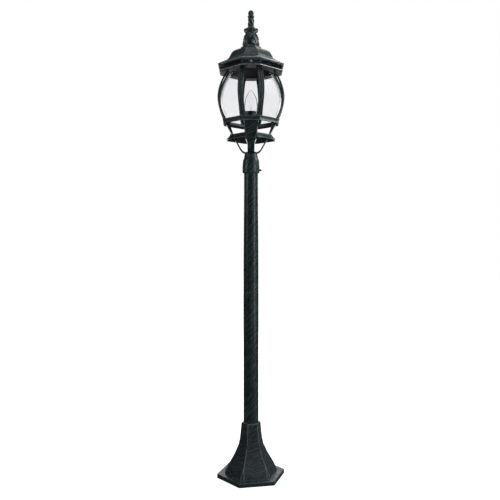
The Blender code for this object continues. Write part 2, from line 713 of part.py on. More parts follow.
def make_finial(parent, seat):
    """Urn, leaf crown and spire, stacked on the crown plate and bored for the stud."""
    bore = 0.0034
    urn = [(0.0188, 0.0006, seat + GAP), (0.0198, 0.0006, 1.1110), (0.0203, 0.0006, 1.1165),
           (0.0199, 0.0008, 1.1222), (0.0182, 0.0010, 1.1296), (0.0157, 0.0010, 1.1348),
           (0.0142, 0.0004, 1.1378), (0.0138, 0.0004, 1.1402)]
    rings = [leafy_ring(radius, lobe, ROUND_STEPS, z) for radius, lobe, z in urn]
    rings += [circle(bore, urn[-1][2], ROUND_STEPS), circle(bore, urn[0][2], ROUND_STEPS)]
    body = add_part("finial_urn", loft_mesh("finial_urn", rings, closed=True),
                    "green_black_paint", parent)
    for index in range(4):
        name = f"volute_{index}"
        disc = cylinder_mesh(name, VOLUTE_RADIUS, (0.0120, 0, VOLUTE_HEIGHT),
                             (VOLUTE_REACH, 0, VOLUTE_HEIGHT), 20)
        volute = add_cutter(name, disc)
        volute.rotation_euler = (0, 0, FINIAL_TURN + radians(90) * index)
        boolean(body, volute, "UNION")
    crown = [(0.0118, 0.0006, 1.1405), (0.0124, 0.0030, 1.1430), (0.0118, 0.0072, 1.1462),
             (0.0104, 0.0092, 1.1492), (0.0092, 0.0082, 1.1520), (0.0082, 0.0036, 1.1548),
             (0.0076, 0.0004, 1.1562)]
    rings = [leafy_ring(radius, lobe, ROUND_STEPS, z) for radius, lobe, z in crown]
    rings += [circle(bore, crown[-1][2], ROUND_STEPS), circle(bore, crown[0][2], ROUND_STEPS)]
    add_part("finial_crown", loft_mesh("finial_crown", rings, closed=True), "green_black_paint",
             parent)
    ball = 1.1918
    spire = [(0, TOTAL_HEIGHT), (0.0036, TOTAL_HEIGHT - 0.0006), (0.0064, TOTAL_HEIGHT - 0.0030),
             (0.0075, ball), (0.0068, 1.1880), (0.0062, 1.1866), (0.0086, 1.1846),
             (0.0086, 1.1822), (0.0070, 1.1800), (0.0080, 1.1740), (0.0074, 1.1660),
             (0.0080, 1.1600), (0.0080, 1.1565), (bore, 1.1565), (bore, 1.1660), (0, 1.1660)]
    turned("finial_spire", spire, "green_black_paint", parent, 16, closed=False)
    stud_top = 1.1645
    turned("finial_stud", [(0, stud_top), (0.0030, stud_top), (0.0030, 1.0850), (0, 1.0850)],
           "bright_steel", parent, SMALL_STEPS, closed=False)
    hexagon_nut("finial_nut", 0.0100, 0.0034, DOME_TOP - 0.0083, DOME_TOP - 0.0033, parent)


# ---- lampholder and bulb ----------------------------------------------------------------------------
def make_lampholder(parent):
    floor = TRAY_TOP + GAP
    bore = 0.0146
    body = [(0.0178, HOLDER_TOP), (HOLDER_RADIUS - 0.0005, HOLDER_TOP),
            (HOLDER_RADIUS, HOLDER_TOP - 0.0012), (HOLDER_RADIUS, 0.9120), (0.0172, 0.9080),
            (0.0172, 0.8830), (0.0160, floor), (STEM_RADIUS + 0.0004, floor),
            (STEM_RADIUS + 0.0004, 0.8862), (bore, 0.8862), (bore, 0.9230)]
    turned("lampholder", body, "black_plastic", parent)
    turned("holder_sleeve", tube_outline(0.0143, 0.0135, 0.9000, 0.9222), "brass", parent)
    turned("holder_contact", [(0, 0.8939), (0.0038, 0.8939), (0.0038, 0.8870), (0, 0.8870)],
           "brass", parent, SMALL_STEPS, closed=False)


def make_bulb(screw_axis, lift_axis):
    """The bulb turns on its axis. Its round end contact rises with it and needs no turning."""
    turned("bulb_contact", [(0, 0.8967), (0.0045, 0.8967), (0.0045, 0.8950), (0.0030, 0.8942),
                            (0, 0.8942)], "bright_steel", lift_axis, SMALL_STEPS, closed=False)
    rim = 0.9220
    cap = [(0, BULB_CAP_BOTTOM + 0.0015), (0.0090, BULB_CAP_BOTTOM + 0.0015), (0.0123, 0.9020),
           (0.0123, rim), (BULB_CAP_RADIUS, rim), (BULB_CAP_RADIUS, 0.9015),
           (0.0095, BULB_CAP_BOTTOM), (0, BULB_CAP_BOTTOM)]
    turned("bulb_cap", cap, "nickel", screw_axis, closed=False)
    wall = 0.0008
    # the candle's outer side below its rounded tip, as (radius, height)
    side = smooth_points([(0.0090, 0.9846), (0.0150, 0.9710), (BULB_RADIUS, 0.9530),
                          (0.0162, 0.9370), (0.0136, 0.9260)], 2)
    tip = [(0, BULB_TOP), (0.0030, 0.9936)]
    neck = [(0.0120, 0.9224), (0.0120, 0.9050)]
    outer = tip + [tuple(point) for point in side] + neck
    inner = [(0, BULB_TOP - wall)] + [(x - wall, z - wall / 4) for x, z in outer[1:-1]]
    inner.append((neck[-1][0] - wall, neck[-1][1]))
    turned("bulb_glass", outer + list(reversed(inner)), "clear_glass", screw_axis,
           closed=False)
    stem = [(0, 0.9500), (0.0018, 0.9490), (0.0022, 0.9300), (0.0060, 0.9140), (0.0080, 0.9085),
            (0, 0.9085)]
    turned("filament_stem", stem, "clear_glass", screw_axis, SMALL_STEPS, closed=False)


# ---- clamp screw ---------------------------------------------------------------------------------
def make_clamp(screw_axis, pad_axis):
    """Both are turned about the clamp's own axis, whose local Z points out along +X."""
    pad_start = TUBE_TOP_RADIUS + GAP
    pad_end = 0.0198
    turned("clamp_pad", [(0, pad_end), (0.0021, pad_end), (0.0021, pad_start), (0, pad_start)],
           "brass", pad_axis, SMALL_STEPS, closed=False)
    start = pad_end + GAP
    head = 0.0240
    outline = [(0, head + 0.0034), (0.0014, head + 0.0031), (0.0027, head + 0.0018),
               (0.0032, head + 0.0002), (0.0032, head), (CLAMP_RADIUS - 0.0001, head),
               (CLAMP_RADIUS - 0.0001, start), (0, start)]
    screw = turned("clamp_screw", outline, "black_plastic", screw_axis, 16, closed=False)
    slot = box_mesh("clamp_slot", (-0.0040, -0.0004, head + 0.0022), (0.0040, 0.0004, 0.0300))
    boolean(screw, add_cutter("clamp_slot", slot, screw_axis))


# ---- the whole lamp --------------------------------------------------------------------------------
def main():
    post = new_empty("post_axis", (0, 0, 0))
    head = new_empty("head_axis", (0, 0, 0), post)
    roof = new_empty("roof_axis", (0, 0, 0), head)
    bulb_lift = new_empty("bulb_lift_axis", (0, 0, 0), head)
    bulb_screw = new_empty("bulb_screw_axis", (0, 0, 0), bulb_lift)
    outward = (0, radians(90), 0)
    clamp_pad = new_empty("clamp_pad_axis", (0, 0, CLAMP_HEIGHT), head, outward)
    clamp_screw = new_empty("clamp_screw_axis", (0, 0, 0), clamp_pad)

    make_base(post)
    make_pole(post)
    make_wiring(post)
    make_post_cap(head)
    make_stem(head)
    sides = ("right", "back", "left", "front")
    corners = ("back_right", "back_left", "front_left", "front_right")
    four_ways([f"strap_{side}" for side in sides], lambda name: make_strap(name, head))
    make_tray(head)
    make_ring(head)
    four_ways([f"rib_{side}_a" for side in sides], lambda name: make_rib(name, -1, head))
    four_ways([f"rib_{side}_b" for side in sides], lambda name: make_rib(name, 1, head))
    four_ways([f"pane_{side}" for side in sides], lambda name: make_narrow_pane(name, head))
    four_ways([f"pane_{corner}" for corner in corners], lambda name: make_wide_pane(name, head))
    make_gallery(head)
    four_ways([f"roof_screw_{side}" for side in sides],
              lambda name: make_roof_screw(name, head))
    make_lampholder(head)
    make_roof(roof)
    seat = make_crown_plate(roof)
    make_finial(roof, seat)
    make_bulb(bulb_screw, bulb_lift)
    make_clamp(clamp_screw, clamp_pad)


clear_scene()
PARTS = new_collection("garden_post_lamp")
CUTTERS = new_collection("cutters")
main()
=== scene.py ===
"""Looks of the garden post lamp: patinated paint, fluted cage, scrolled finial, clear panes.

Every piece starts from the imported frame. Turned nodes are turned again with more steps, cast
nodes get softened edges, and the finial's relief and the bulb's filament are added here.
"""
import json
from math import atan2, cos, pi, radians, sin

import bmesh
import bpy
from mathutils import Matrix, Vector


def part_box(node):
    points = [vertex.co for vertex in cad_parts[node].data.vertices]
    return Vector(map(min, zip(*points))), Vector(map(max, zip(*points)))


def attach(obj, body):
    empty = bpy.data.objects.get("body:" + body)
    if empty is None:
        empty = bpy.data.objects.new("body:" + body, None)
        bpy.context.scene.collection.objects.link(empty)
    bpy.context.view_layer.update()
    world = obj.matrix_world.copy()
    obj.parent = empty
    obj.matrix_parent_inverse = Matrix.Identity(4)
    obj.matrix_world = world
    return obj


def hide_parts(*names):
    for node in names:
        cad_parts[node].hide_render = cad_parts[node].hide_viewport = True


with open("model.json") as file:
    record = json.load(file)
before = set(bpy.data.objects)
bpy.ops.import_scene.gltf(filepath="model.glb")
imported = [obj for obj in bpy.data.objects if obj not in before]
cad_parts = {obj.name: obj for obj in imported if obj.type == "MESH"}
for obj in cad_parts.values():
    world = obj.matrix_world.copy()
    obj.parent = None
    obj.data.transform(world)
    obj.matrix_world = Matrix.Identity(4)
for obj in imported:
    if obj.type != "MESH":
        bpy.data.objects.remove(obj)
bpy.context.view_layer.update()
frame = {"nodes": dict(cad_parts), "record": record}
NODES = frame["nodes"]
BODY_OF = {node: body for body, nodes in frame["record"]["behaviour"]["bodies"].items()
           for node in nodes}
SLOT_OF = {part["node"]: part["material_slot"] for part in frame["record"]["subparts"]}

# ---- driving dimensions, in metres ---------------------------------------------------------
CAMERA_DISTANCE = 1.5935
CAMERA_HEIGHT = 0.620
CAMERA_PITCH = radians(89.8)
CAMERA_LENS = 44.43          # millimetres, on a 36 mm sensor
CAMERA_SHIFT = (-0.002, -0.025)
POLE_TWIST = 40.0            # radians of turn per metre of height along a brush stroke
BASE_TWIST = 105.0
SEAM_TOLERANCE = 0.000004    # how close to the XZ plane an edge of a turned node's outline lies
WELD_DISTANCE = 0.000002     # joins the split corners of a CAD mesh
CAST_SHARP = radians(24)     # edges over this angle are kept sharp, then softened
TURNED_SHARP = radians(28)
LEAF_SHARP = radians(60)
RELIEF_SHARP = radians(50)

BASE_TURN = radians(11.1)    # direction of one of the base's corners
BASE_FLANGE = 0.0103         # top of the flange
BASE_FOOT_REACH = 0.0705     # the flare's corner where it meets the flange

FINIAL_TURN = radians(24)    # direction of the urn's first volute, as in the frame
VOLUTE_HEIGHT = 1.1136
VOLUTE_RADIUS = 0.0072
VOLUTE_REACH = 0.0206
VOLUTE_STEPS = 40            # points along one scroll
VOLUTE_TURNS = 1.15
VOLUTE_STEM = (              # degrees from the volute, radius, share of the urn's height
    (-30, 0.0155, 0.93), (-17, 0.0168, 0.84), (-6, 0.0183, 0.74), (0, 0.0197, 0.64),
)
FOOT_LEAF = (                # radius, height above the urn's foot
    (0.0192, 0.0075), (0.0212, 0.0055), (0.0228, 0.0036), (0.0240, 0.0022), (0.0248, 0.0014),
)
GADROONS = 12                # ribs round the urn
GADROON = (                  # radius, share of the urn's height
    (0.0200, 0.52), (0.0188, 0.64), (0.0174, 0.74), (0.0160, 0.84), (0.0147, 0.94),
)
CROWN_CURL = (               # radius, share of the crown's height
    (0.0105, 0.16), (0.0130, 0.17), (0.0150, 0.25), (0.0162, 0.40), (0.0163, 0.58),
    (0.0153, 0.70), (0.0140, 0.72), (0.0130, 0.64), (0.0131, 0.55), (0.0141, 0.51),
)
CROWN_BUD = (
    (0.0105, 0.15), (0.0126, 0.30), (0.0142, 0.48), (0.0143, 0.66), (0.0130, 0.78),
)
SPIRE_STEPS = 48             # points round the spire
SPIRE_ROWS = 64
SPIRE_LEAVES = 5
VEIN_STEPS = 12
VEIN_RISE = 0.0175
VEIN_TWIST = 84              # radians of turn per metre of height
COIL_STEPS = 120
COIL_TURNS = 20
BEAD_CORNER = 0.0022         # rounding of a bead's path at the lantern's corners
TURNED_STEPS = 96            # steps round the pole and its cap
FITTING_STEPS = 64           # steps round the small turned fittings

BEADS = (                    # name, node, half-width, narrow share, height, radius
    ("roof_lip_bead", "roof", 0.0827, 0.290, 1.0564, 0.0016),
    ("dome_foot_bead", "roof", 0.0600, 0.305, 1.0692, 0.0009),
    ("gallery_top_bead", "gallery_frame", 0.0812, 0.290, 1.0535, 0.0008),
    ("gallery_lip_bead", "gallery_frame", 0.0793, 0.290, 1.0396, 0.0016),
    ("ring_top_bead", "lower_ring", 0.0720, 0.310, 0.9160, 0.0009),
    ("ring_foot_bead", "lower_ring", 0.0703, 0.310, 0.9062, 0.0008),
)

SIDES = ("right", "back", "left", "front")

LIGHTS = (                   # name, place, target, size, watts
    ("key_back_right", (0.48, 1.08, 2.10), (0, 0, 0.98), (0.8, 0.6), 3.5),
    ("key_right", (1.66, 0.15, 1.85), (0, 0, 0.95), (0.8, 0.8), 16.0),
    ("soft_front_right", (1.35, -1.15, 1.45), (0, 0, 0.95), (1.0, 0.9), 5.5),
    ("soft_left", (-1.60, -0.70, 1.30), (0, 0, 0.80), (0.5, 1.4), 6.5),
    ("strip_right", (1.52, -0.88, 0.60), (0, 0, 0.56), (0.30, 1.1), 7.5),
    ("overhead", (-0.25, -0.15, 2.60), (0, 0, 1.00), (1.4, 1.0), 7.0),
    ("back_low", (0.20, 2.20, 0.95), (0, 0, 0.10), (1.8, 0.6), 4.5),
    ("low_front", (0.25, -1.70, 0.15), (0, 0, 1.00), (0.8, 0.5), 1.2),
    ("backdrop", (0, 2.30, 1.30), (0, 0, 0.90), (3.2, 1.2), 12.0),
)
AMBIENT = 0.06               # strength of the white world where the camera doesn't see it

# ---- colours, linear red, green and blue ---------------------------------------------------
BLACK_PAINT = (0.0050, 0.0068, 0.0098)
GREEN_PAINT = (0.0045, 0.0200, 0.0195)
LILAC_PAINT = (0.0170, 0.0145, 0.0215)
BRUSHED_STROKE = (0.0800, 0.1180, 0.1240)
WORN_EDGE = (0.1900, 0.2500, 0.2550)
# primer made lighter than it is: a painted light for the light inside the lantern
PRIMER_AND_PAINTED_LIGHT = (0.3000, 0.2750, 0.3000)
PITTED_PAINT = (0.0160, 0.0270, 0.0275)
RUBBED_RIDGE = (0.21, 0.28, 0.285)
RUBBED_LIP = (0.62, 0.67, 0.67)
MIRRORED = (0.9, 0.92, 0.92)
WHITE = (1, 1, 1)
GLASS_ROUGHNESS = 0.02


# ---- material graph helpers ----------------------------------------------------------------
class Graph:
    """One material's node tree, with short names for the nodes used here."""

    def __init__(self, name):
        self.material = bpy.data.materials.new(name)
        self.material.use_nodes = True
        self.tree = self.material.node_tree
        self.shader = self.tree.nodes["Principled BSDF"]

    def put(self, socket, value):
        if isinstance(value, bpy.types.NodeSocket):
            self.tree.links.new(value, socket)
        else:
            socket.default_value = value

    def node(self, kind, inputs, **settings):
        made = self.tree.nodes.new(kind)
        for key, value in settings.items():
            setattr(made, key, value)
        for key, value in inputs.items():
            self.put(made.inputs[key], value)
        return made

    def math(self, operation, a, b=0.0):
        return self.node("ShaderNodeMath", {0: a, 1: b}, operation=operation).outputs[0]

    def mix(self, factor, a, b):
        made = self.node("ShaderNodeMix", {0: factor, 6: a, 7: b}, data_type="RGBA")
        return made.outputs[2]

    def noise(self, vector, scale, detail, roughness=0.55):
        made = self.node("ShaderNodeTexNoise", {"Vector": vector, "Scale": scale,
                                                "Detail": detail, "Roughness": roughness})
        return made.outputs[0]

    def step(self, value, low, high, bottom=0.0, top=1.0):
        """A smooth step from bottom to top as the value goes from low to high."""
        made = self.node("ShaderNodeMapRange", {"Value": value, "From Min": low, "From Max": high,
                                                "To Min": bottom, "To Max": top},
                         interpolation_type="SMOOTHSTEP")
        return made.outputs[0]

    def place(self):
        return self.node("ShaderNodeTexCoord", {}).outputs["Object"]

    def stretched(self, vector, scale):
        return self.node("ShaderNodeMapping", {"Vector": vector, "Scale": scale}).outputs[0]

    def bump(self, height, distance, strength):
        return self.node("ShaderNodeBump", {"Height": height, "Distance": distance,
                                            "Strength": strength}).outputs[0]


def rgb(red, green, blue):
    return (red, green, blue, 1.0)


def brush_place(graph, twist):
    """Coordinates in which a stroke that climbs round the pole is a straight upright line."""
    place = graph.place()
    height = graph.node("ShaderNodeSeparateXYZ", {0: place}).outputs[2]
    turn = graph.math("MULTIPLY", height, -twist)
    made = graph.node("ShaderNodeVectorRotate", {"Vector": place, "Angle": turn},
                      rotation_type="Z_AXIS")
    return made.outputs[0]


def patina(name, green, wear, relief=0.0005, twist=POLE_TWIST, size=1.0, painted_lit_lining=False,
           brushed_share=1.0):
    """Near-black paint, green in patches, with dry-brushed strokes and lighter edges.

    A casting given the lining shows a light primer where its wall faces inwards, or down near its
    middle: primer painted lighter than it is, a painted light for the light inside the lantern.
    Its mask uses the object's own normal, so that it turns with the body.
    """
    graph = Graph(name)
    place = graph.place()
    brushed = brush_place(graph, twist)
    patches = graph.noise(place, 20.0, 2.0)
    tints = graph.noise(place, 55.0, 3.0)
    broad = graph.noise(graph.stretched(brushed, (215.0 / size, 215.0 / size, 48.0)), 1.0, 2.5)
    fine = graph.noise(graph.stretched(brushed, (560.0, 560.0, 95.0)), 1.0, 3.0, 0.6)
    speckle = graph.noise(place, 900.0, 2.0)

    green_share = graph.math("MULTIPLY", graph.step(patches, 0.36, 0.60), green)
    colour = graph.mix(green_share, rgb(*BLACK_PAINT), rgb(*GREEN_PAINT))
    lilac = graph.step(tints, 0.54, 0.74, 0.0, 0.5)
    colour = graph.mix(lilac, colour, rgb(*LILAC_PAINT))
    strokes = graph.math("ADD", graph.step(broad, 0.50, 0.61, 0.0, 0.62),
                         graph.step(fine, 0.51, 0.63, 0.0, 0.38))
    strokes = graph.math("MULTIPLY", strokes, brushed_share)
    colour = graph.mix(strokes, colour, rgb(*BRUSHED_STROKE))

    flat = graph.node("ShaderNodeNewGeometry", {}).outputs["Normal"]
    rounded = graph.node("ShaderNodeBevel", {"Radius": 0.0021}, samples=6).outputs[0]
    facing = graph.node("ShaderNodeVectorMath", {0: flat, 1: rounded}, operation="DOT_PRODUCT")
    edge = graph.step(facing.outputs["Value"], 0.995, 0.93)
    edge = graph.math("MULTIPLY", edge, graph.step(broad, 0.34, 0.55, 0.45, 1.0))
    edge = graph.math("MULTIPLY", edge, wear)
    colour = graph.mix(edge, colour, rgb(*WORN_EDGE))
    # painted light: inward faces, and downward faces near the middle, take the light primer in
    # place of light inside the lantern
    if painted_lit_lining:
        across = graph.node("ShaderNodeVectorMath", {0: place, 1: (1.0, 1.0, 0.0)},
                            operation="MULTIPLY").outputs[0]
        own_normal = graph.node("ShaderNodeTexCoord", {}).outputs["Normal"]
        outward = graph.node("ShaderNodeVectorMath", {0: own_normal, 1: across},
                             operation="DOT_PRODUCT").outputs["Value"]
        reach = graph.node("ShaderNodeVectorMath", {0: across}, operation="LENGTH")
        upward = graph.node("ShaderNodeSeparateXYZ", {0: own_normal}).outputs[2]
        ceiling = graph.math("MULTIPLY", graph.step(upward, -0.3, -0.6),
                             graph.step(reach.outputs["Value"], 0.0545, 0.0500))
        lit_primer_share = graph.math("MAXIMUM", graph.step(outward, -0.012, -0.024), ceiling)
        colour = graph.mix(lit_primer_share, colour, rgb(*PRIMER_AND_PAINTED_LIGHT))

    graph.put(graph.shader.inputs["Base Color"], colour)
    rough = graph.step(broad, 0.36, 0.62, 0.46, 0.32)
    graph.put(graph.shader.inputs["Roughness"], rough)
    height = graph.math("ADD", graph.math("MULTIPLY", broad, 0.65),
                        graph.math("MULTIPLY", fine, 0.25))
    height = graph.math("ADD", height, graph.math("MULTIPLY", speckle, 0.10))
    graph.put(graph.shader.inputs["Normal"], graph.bump(height, relief, 0.8))
    graph.shader.inputs["Specular IOR Level"].default_value = 0.36
    graph.shader.inputs["Coat Weight"].default_value = 0.1
    graph.shader.inputs["Coat Roughness"].default_value = 0.20
    return graph.material


def dry_brushed(name, light, sheen):
    """The grey-green highlight rubbed over raised ridges, with dark paint in its pits."""
    graph = Graph(name)
    brushed = brush_place(graph, POLE_TWIST)
    fine = graph.noise(graph.stretched(brushed, (620.0, 620.0, 90.0)), 1.0, 4.0, 0.65)
    share = graph.step(fine, 0.36, 0.60)
    graph.put(graph.shader.inputs["Base Color"],
              graph.mix(share, rgb(*PITTED_PAINT), rgb(*light)))
    graph.put(graph.shader.inputs["Roughness"], graph.step(fine, 0.30, 0.70, 0.34, 0.50))
    graph.put(graph.shader.inputs["Normal"], graph.bump(fine, 0.0002, 0.6))
    graph.shader.inputs["Metallic"].default_value = sheen
    graph.shader.inputs["Coat Weight"].default_value = 0.3
    graph.shader.inputs["Coat Roughness"].default_value = 0.2
    return graph.material


def metal(name, colour, roughness, grain):
    """A plated or turned metal, with a fine grain and a few duller patches."""
    graph = Graph(name)
    place = graph.place()
    grains = graph.noise(graph.stretched(place, (grain, grain, grain * 5)), 1.0, 3.0)
    patches = graph.noise(place, 140.0, 3.0)
    dull = tuple(channel * 0.62 for channel in colour)
    tone = graph.mix(graph.step(patches, 0.45, 0.75), rgb(*colour), rgb(*dull))
    graph.put(graph.shader.inputs["Base Color"], tone)
    graph.put(graph.shader.inputs["Roughness"],
              graph.step(grains, 0.30, 0.75, roughness, roughness + 0.18))
    graph.put(graph.shader.inputs["Normal"], graph.bump(grains, 0.00006, 0.5))
    graph.shader.inputs["Metallic"].default_value = 1.0
    return graph.material


def plastic(name, colour, roughness):
    """Moulded plastic or rubber: a faint orange-peel surface and slight tone changes."""
    graph = Graph(name)
    place = graph.place()
    peel = graph.noise(place, 1400.0, 2.0)
    tone = graph.noise(place, 70.0, 3.0)
    lighter = tuple(min(1.0, channel * 1.25 + 0.004) for channel in colour)
    graph.put(graph.shader.inputs["Base Color"],
              graph.mix(graph.step(tone, 0.35, 0.70), rgb(*colour), rgb(*lighter)))
    graph.put(graph.shader.inputs["Roughness"],
              graph.step(tone, 0.30, 0.70, roughness, roughness + 0.12))
    graph.put(graph.shader.inputs["Normal"], graph.bump(peel, 0.00005, 0.4))
    return graph.material


def clear_glass(name, face_tint, edge_painted_shade, waviness):
    """Thin clear glass: light passes, it darkens towards its outline, a painted shade standing in
    for refraction, and mirrors a little.
    """
    graph = Graph(name)
    place = graph.place()
    waves = graph.noise(place, 28.0, 2.0)
    normal = graph.bump(waves, 0.002, waviness)
    outline = graph.node("ShaderNodeLayerWeight", {"Blend": 0.5, "Normal": normal})
    facing = outline.outputs["Facing"]
    dust = graph.step(graph.noise(place, 46.0, 4.0, 0.65), 0.42, 0.78, 0.0, 0.5)
    dust_and_edge_shade = graph.mix(dust, rgb(*face_tint), rgb(*[channel * 0.965 for channel in face_tint]))
    # painted shade: the glass turns darker towards its outline in place of refraction and the
    # longer path through it
    dust_and_edge_shade = graph.mix(graph.step(facing, 0.38, 0.90), dust_and_edge_shade, rgb(*edge_painted_shade))
    through = graph.node("ShaderNodeBsdfTransparent", {"Color": dust_and_edge_shade})
    mirror = graph.node("ShaderNodeBsdfGlossy", {"Color": rgb(*MIRRORED),
                                                 "Roughness": GLASS_ROUGHNESS, "Normal": normal})
    grazing = graph.math("MULTIPLY", graph.math("POWER", facing, 5.0), 0.30)
    share = graph.math("ADD", grazing, 0.0012)
    both = graph.node("ShaderNodeMixShader", {0: share, 1: through.outputs[0],
                                              2: mirror.outputs[0]})
    output = graph.tree.nodes["Material Output"]
    graph.put(output.inputs["Surface"], both.outputs[0])
    graph.tree.nodes.remove(graph.shader)
    return graph.material


def make_finishes():
    return {
        "painted_castings": patina("casting_patina", 0.95, 0.85),
        "painted_tube": patina("tube_patina", 0.95, 0.45, 0.0008, brushed_share=0.62),
        "base_paint": patina("base_patina", 0.30, 0.60, 0.0009, BASE_TWIST, 0.8),
        # these two finishes carry the light primer inside, a painted light for the lantern's
        # inside
        "lined_paint_painted_light": patina("lined_patina_painted_light", 0.85, 0.75, painted_lit_lining=True),
        "gallery_paint": patina("gallery_patina", 0.85, 0.60, painted_lit_lining=True, brushed_share=0.35),
        "finial_paint": patina("finial_patina", 0.35, 1.0, 0.0007, 70.0, 0.6, brushed_share=0.6),
        "rubbed_paint": dry_brushed("rubbed_ridge", RUBBED_RIDGE, 0.0),
        "lip_paint": dry_brushed("rubbed_lip", RUBBED_LIP, 0.85),
        "zinc_steel": metal("zinc_plate", (0.52, 0.53, 0.54), 0.28, 300.0),
        "brass": metal("turned_brass", (0.68, 0.50, 0.24), 0.26, 340.0),
        "bulb_metal": metal("nickel_plate", (0.60, 0.58, 0.54), 0.20, 360.0),
        "black_plastic": plastic("black_holder_plastic", (0.014, 0.014, 0.016), 0.24),
        "white_plastic": plastic("terminal_plastic", (0.74, 0.73, 0.69), 0.42),
        "cable_sheath": plastic("cable_rubber", (0.020, 0.020, 0.021), 0.55),
        "pane_glass": clear_glass("pane_clear", (0.955, 0.956, 0.960), (0.66, 0.68, 0.69), 0.10),
        "bulb_glass": clear_glass("bulb_clear", (0.985, 0.987, 0.990), (0.16, 0.17, 0.19), 0.0),
    }


FINISH = make_finishes()


# ---- piece helpers -------------------------------------------------------------------------
def new_piece(name, mesh, node, finish=None):
    """Link a mesh or curve as a piece that takes its body and finish from a CAD node."""
    piece = bpy.data.objects.new(name, mesh)
    bpy.context.scene.collection.objects.link(piece)
    mesh.materials.clear()
    mesh.materials.append(FINISH[finish or SLOT_OF[node]])
    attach(piece, BODY_OF[node])
    return piece


def welded(node):
    """The CAD node's mesh as a bmesh with its split corners joined."""
    shape = bmesh.new()
    shape.from_mesh(NODES[node].data)
    bmesh.ops.remove_doubles(shape, verts=shape.verts, dist=WELD_DISTANCE)
    return shape


def finish_mesh(shape, name, sharp):
    """Smooth shading with sharp edges over the angle. Corner data from the CAD is dropped."""
    mesh = bpy.data.meshes.new(name)
    bmesh.ops.recalc_face_normals(shape, faces=shape.faces)
    shape.to_mesh(mesh)
    shape.free()
    mesh.shade_smooth()
    mesh.set_sharp_from_angle(angle=sharp)
    return mesh


def soften(piece, width, limit):
    bevel = piece.modifiers.new("soft_edges", "BEVEL")
    bevel.width = width
    bevel.segments = 2
    bevel.limit_method = "ANGLE"
    bevel.angle_limit = limit
    bevel.harden_normals = True


def refined(node, width, sharp=CAST_SHARP, finish=None):
    """A cast or bent node with clean faces and softened edges."""
    shape = welded(node)
    bmesh.ops.dissolve_limit(shape, angle_limit=radians(0.6), verts=shape.verts,
                             edges=shape.edges)
    piece = new_piece(node + "_shaped", finish_mesh(shape, node, sharp), node, finish)
    soften(piece, width, limit=sharp)
    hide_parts(node)
    return piece


def outline_chain(node, side):
    """A turned node's outline as (radius, height), read from its edges in the XZ half-plane."""
    shape = welded(node)
    near = SEAM_TOLERANCE
    links = {}
    for edge in shape.edges:
        ends = [v.co for v in edge.verts]
        if all(abs(p.y) < near and p.x * side > -near for p in ends):
            a, b = [(max(0.0, p.x * side), p.z) for p in ends]
            if a[0] > near or b[0] > near:
                links.setdefault(a, []).append(b)
                links.setdefault(b, []).append(a)
    shape.free()
    open_ends = [p for p, others in links.items() if len(others) == 1]
    start = max(open_ends or links, key=lambda p: p[1])
    chain = [start]
    while True:
        onward = [p for p in links[chain[-1]] if p not in chain]
        if not onward:
            break
        chain.append(max(onward, key=lambda p: p[1]) if len(chain) == 1 else onward[0])
    return chain, not open_ends


def spun(chain, closed, steps, name):
    """Turn an outline about Z."""
    shape = bmesh.new()
    rings = []
    for radius, height in chain:
        if radius < SEAM_TOLERANCE:
            rings.append([shape.verts.new((0, 0, height))] * steps)
        else:
            rings.append([shape.verts.new((radius * cos(2 * pi * i / steps),
                                           radius * sin(2 * pi * i / steps), height))
                          for i in range(steps)])
    pairs = list(zip(rings, rings[1:]))
    if closed:
        pairs.append((rings[-1], rings[0]))
    for one, two in pairs:
        for i in range(steps):
            j = (i + 1) % steps
            corners = []
            for vert in (one[i], one[j], two[j], two[i]):
                if vert not in corners:
                    corners.append(vert)
            if len(corners) > 2:
                shape.faces.new(corners)
    return finish_mesh(shape, name, TURNED_SHARP)


def returned(node, steps, side=1, width=0.0, skin=False):
    """A turned node, turned again with more steps and softened rims, or only its outer skin."""
    chain, closed = outline_chain(node, side)
    if skin:
        chain = chain[:chain.index(min(chain, key=lambda p: p[1])) + 1]
    piece = new_piece(node + "_turned", spun(chain, closed, steps, node), node)
    if width:
        soften(piece, width, limit=TURNED_SHARP)
    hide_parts(node)
    return piece


def rod(name, points, radius, node, radii=None, finish=None, loop=False):
    """A round rod along points, as a piece of the node's body and finish."""
    curve = bpy.data.curves.new(name, "CURVE")
    curve.dimensions = "3D"
    curve.bevel_depth = radius
    curve.bevel_resolution = 3
    curve.use_fill_caps = not loop
    spline = curve.splines.new("POLY")
    spline.points.add(len(points) - 1)
    spline.use_cyclic_u = loop
    for index, point in enumerate(points):
        spline.points[index].co = (*point, 1.0)
        spline.points[index].radius = radii[index] if radii else 1.0
    return new_piece(name, curve, node, finish)


def skin_rings(shape, rings):
    """Faces between rings of equal length, and a flat face over each end."""
    steps = len(rings[0])
    for one, two in zip(rings, rings[1:]):
        for i in range(steps):
            j = (i + 1) % steps
            shape.faces.new((one[i], one[j], two[j], two[i]))
    shape.faces.new(reversed(rings[0]))
    shape.faces.new(rings[-1])


def leaf(name, route, angle, width, thick, node, finish=None):
    """A cast leaf: a lens-shaped bar swept along (reach, height) points in one upright plane."""
    outward = Vector((cos(angle), sin(angle), 0))
    across = Vector((-sin(angle), cos(angle), 0))
    steps = 12
    shape = bmesh.new()
    rings = []
    last = len(route) - 1
    for index, (reach, height) in enumerate(route):
        before, after = route[max(0, index - 1)], route[min(last, index + 1)]
        along = Vector((after[0] - before[0], after[1] - before[1])).normalized()
        taper = blended([(0.0, 0.75), (0.45, 1.0), (1.0, 0.42)], index / last)
        ring = []
        for i in range(steps):
            turn = 2 * pi * i / steps
            side = cos(turn) * width * taper
            rise = sin(turn) * thick * taper * (1.0 + 0.35 * cos(2 * turn))
            at = (outward * (reach - along.y * rise) + across * side
                  + Vector((0, 0, height + along.x * rise)))
            ring.append(shape.verts.new(at))
        rings.append(ring)
    skin_rings(shape, rings)
    return new_piece(name, finish_mesh(shape, name, LEAF_SHARP), node, finish)


